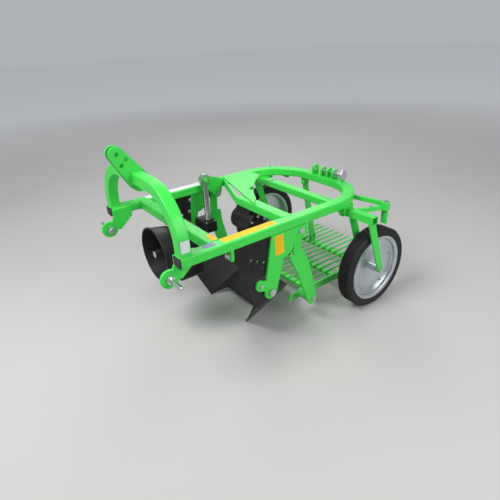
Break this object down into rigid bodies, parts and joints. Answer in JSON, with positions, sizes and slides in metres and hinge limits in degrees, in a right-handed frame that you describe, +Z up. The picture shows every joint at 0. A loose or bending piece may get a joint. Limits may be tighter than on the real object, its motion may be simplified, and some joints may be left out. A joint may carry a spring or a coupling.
{
  "type": "tractor-mounted potato digger",
  "caption": "Three-point-hitch potato digger: bent tube frame, scoop share, shaking rod sieve on swinging hangers and depth wheels, driven by a power take-off shaft.",
  "frame": {"origin": "on the ground under the middle of the machine's length and width", "axes": "+X forward to the tractor, +Y to the left, +Z up"},
  "size_m": [1.55, 1.096, 1.026],
  "materials": {
    "green_paint": "gloss powder coat, bright green",
    "black_paint": "semi-gloss black paint",
    "black_plastic": "matt moulded plastic",
    "zinc": "bright zinc plate",
    "bright_steel": "turned bright steel",
    "galvanized": "galvanized sheet",
    "tyre_rubber": "black solid rubber"
  },
  "bodies": {
    "frame": {"main_frame": "green_paint", "front_crossbar": "green_paint", "middle_crossbar": "green_paint", "rear_crossbar": "green_paint", "headstock_arch": "green_paint", "top_link_bracket": "green_paint", "hitch_plate_left": "green_paint", "hitch_plate_right": "green_paint", "side_leg_left": "green_paint", "side_leg_right": "green_paint", "gusset_plate": "green_paint", "rear_lugs": "green_paint", "rear_hanger_ears": "green_paint", "wheel_fork_left": "green_paint", "wheel_fork_right": "green_paint", "scraper_left": "green_paint", "scraper_right": "green_paint", "shield_brackets": "green_paint", "gearbox": "black_paint", "drive_drum": "black_paint", "eccentric_box": "black_paint", "share": "black_paint", "side_shields": "black_paint", "pto_guard": "black_plastic", "end_caps": "black_plastic", "hitch_pin_left": "zinc", "hitch_pin_right": "zinc", "foot_bolts": "zinc", "lug_pin": "zinc", "front_pins": "zinc", "wheel_axle_left": "zinc", "wheel_axle_right": "zinc"},
    "pto_shaft": {"pto_shaft": "bright_steel"},
    "sieve": {"sieve": "green_paint"},
    "front_hangers": {"front_hanger_left": "green_paint", "front_hanger_right": "green_paint"},
    "rear_hanger": {"rear_hanger": "green_paint"},
    "drive_rod": {"drive_rod": "bright_steel"},
    "wheel_left": {"wheel_rim_left": "galvanized", "tyre_left": "tyre_rubber"},
    "wheel_right": {"wheel_rim_right": "galvanized", "tyre_right": "tyre_rubber"}
  },
  "joints": [
    {"name": "pto_spin", "type": "hinge", "parent": "frame", "child": "pto_shaft", "pos_m": [0.58, 0, 0.484], "axis": [1, 0, 0], "continuous": true},
    {"name": "sieve_shake", "type": "slide", "parent": "frame", "child": "sieve", "axis": [0.9811, 0, -0.1935], "range_m": [-0.012, 0.012]},
    {"name": "front_hanger_swing", "type": "hinge", "parent": "frame", "child": "front_hangers", "pos_m": [0.054, 0, 0.569], "axis": [0, -1, 0], "range_deg": [-1.6, 1.6]},
    {"name": "rear_hanger_swing", "type": "hinge", "parent": "frame", "child": "rear_hanger", "pos_m": [-0.478, 0, 0.56], "axis": [0, -1, 0], "range_deg": [-1.75, 1.75]},
    {"name": "drive_rod_swing", "type": "hinge", "parent": "front_hangers", "child": "drive_rod", "pos_m": [0.155, -0.295, 0.68], "axis": [0, -1, 0], "range_deg": [-1, 1]},
    {"name": "wheel_left_spin", "type": "hinge", "parent": "frame", "child": "wheel_left", "pos_m": [-0.416, 0.471, 0.231], "axis": [0, 1, 0], "continuous": true},
    {"name": "wheel_right_spin", "type": "hinge", "parent": "frame", "child": "wheel_right", "pos_m": [-0.416, -0.471, 0.231], "axis": [0, 1, 0], "continuous": true}
  ],
  "couplings": [
    {"joint": "front_hanger_swing", "follows": "sieve_shake", "rad_per_m": 2.3031},
    {"joint": "rear_hanger_swing", "follows": "sieve_shake", "rad_per_m": 2.4838},
    {"joint": "drive_rod_swing", "follows": "sieve_shake", "rad_per_m": -1.4061}
  ]
}
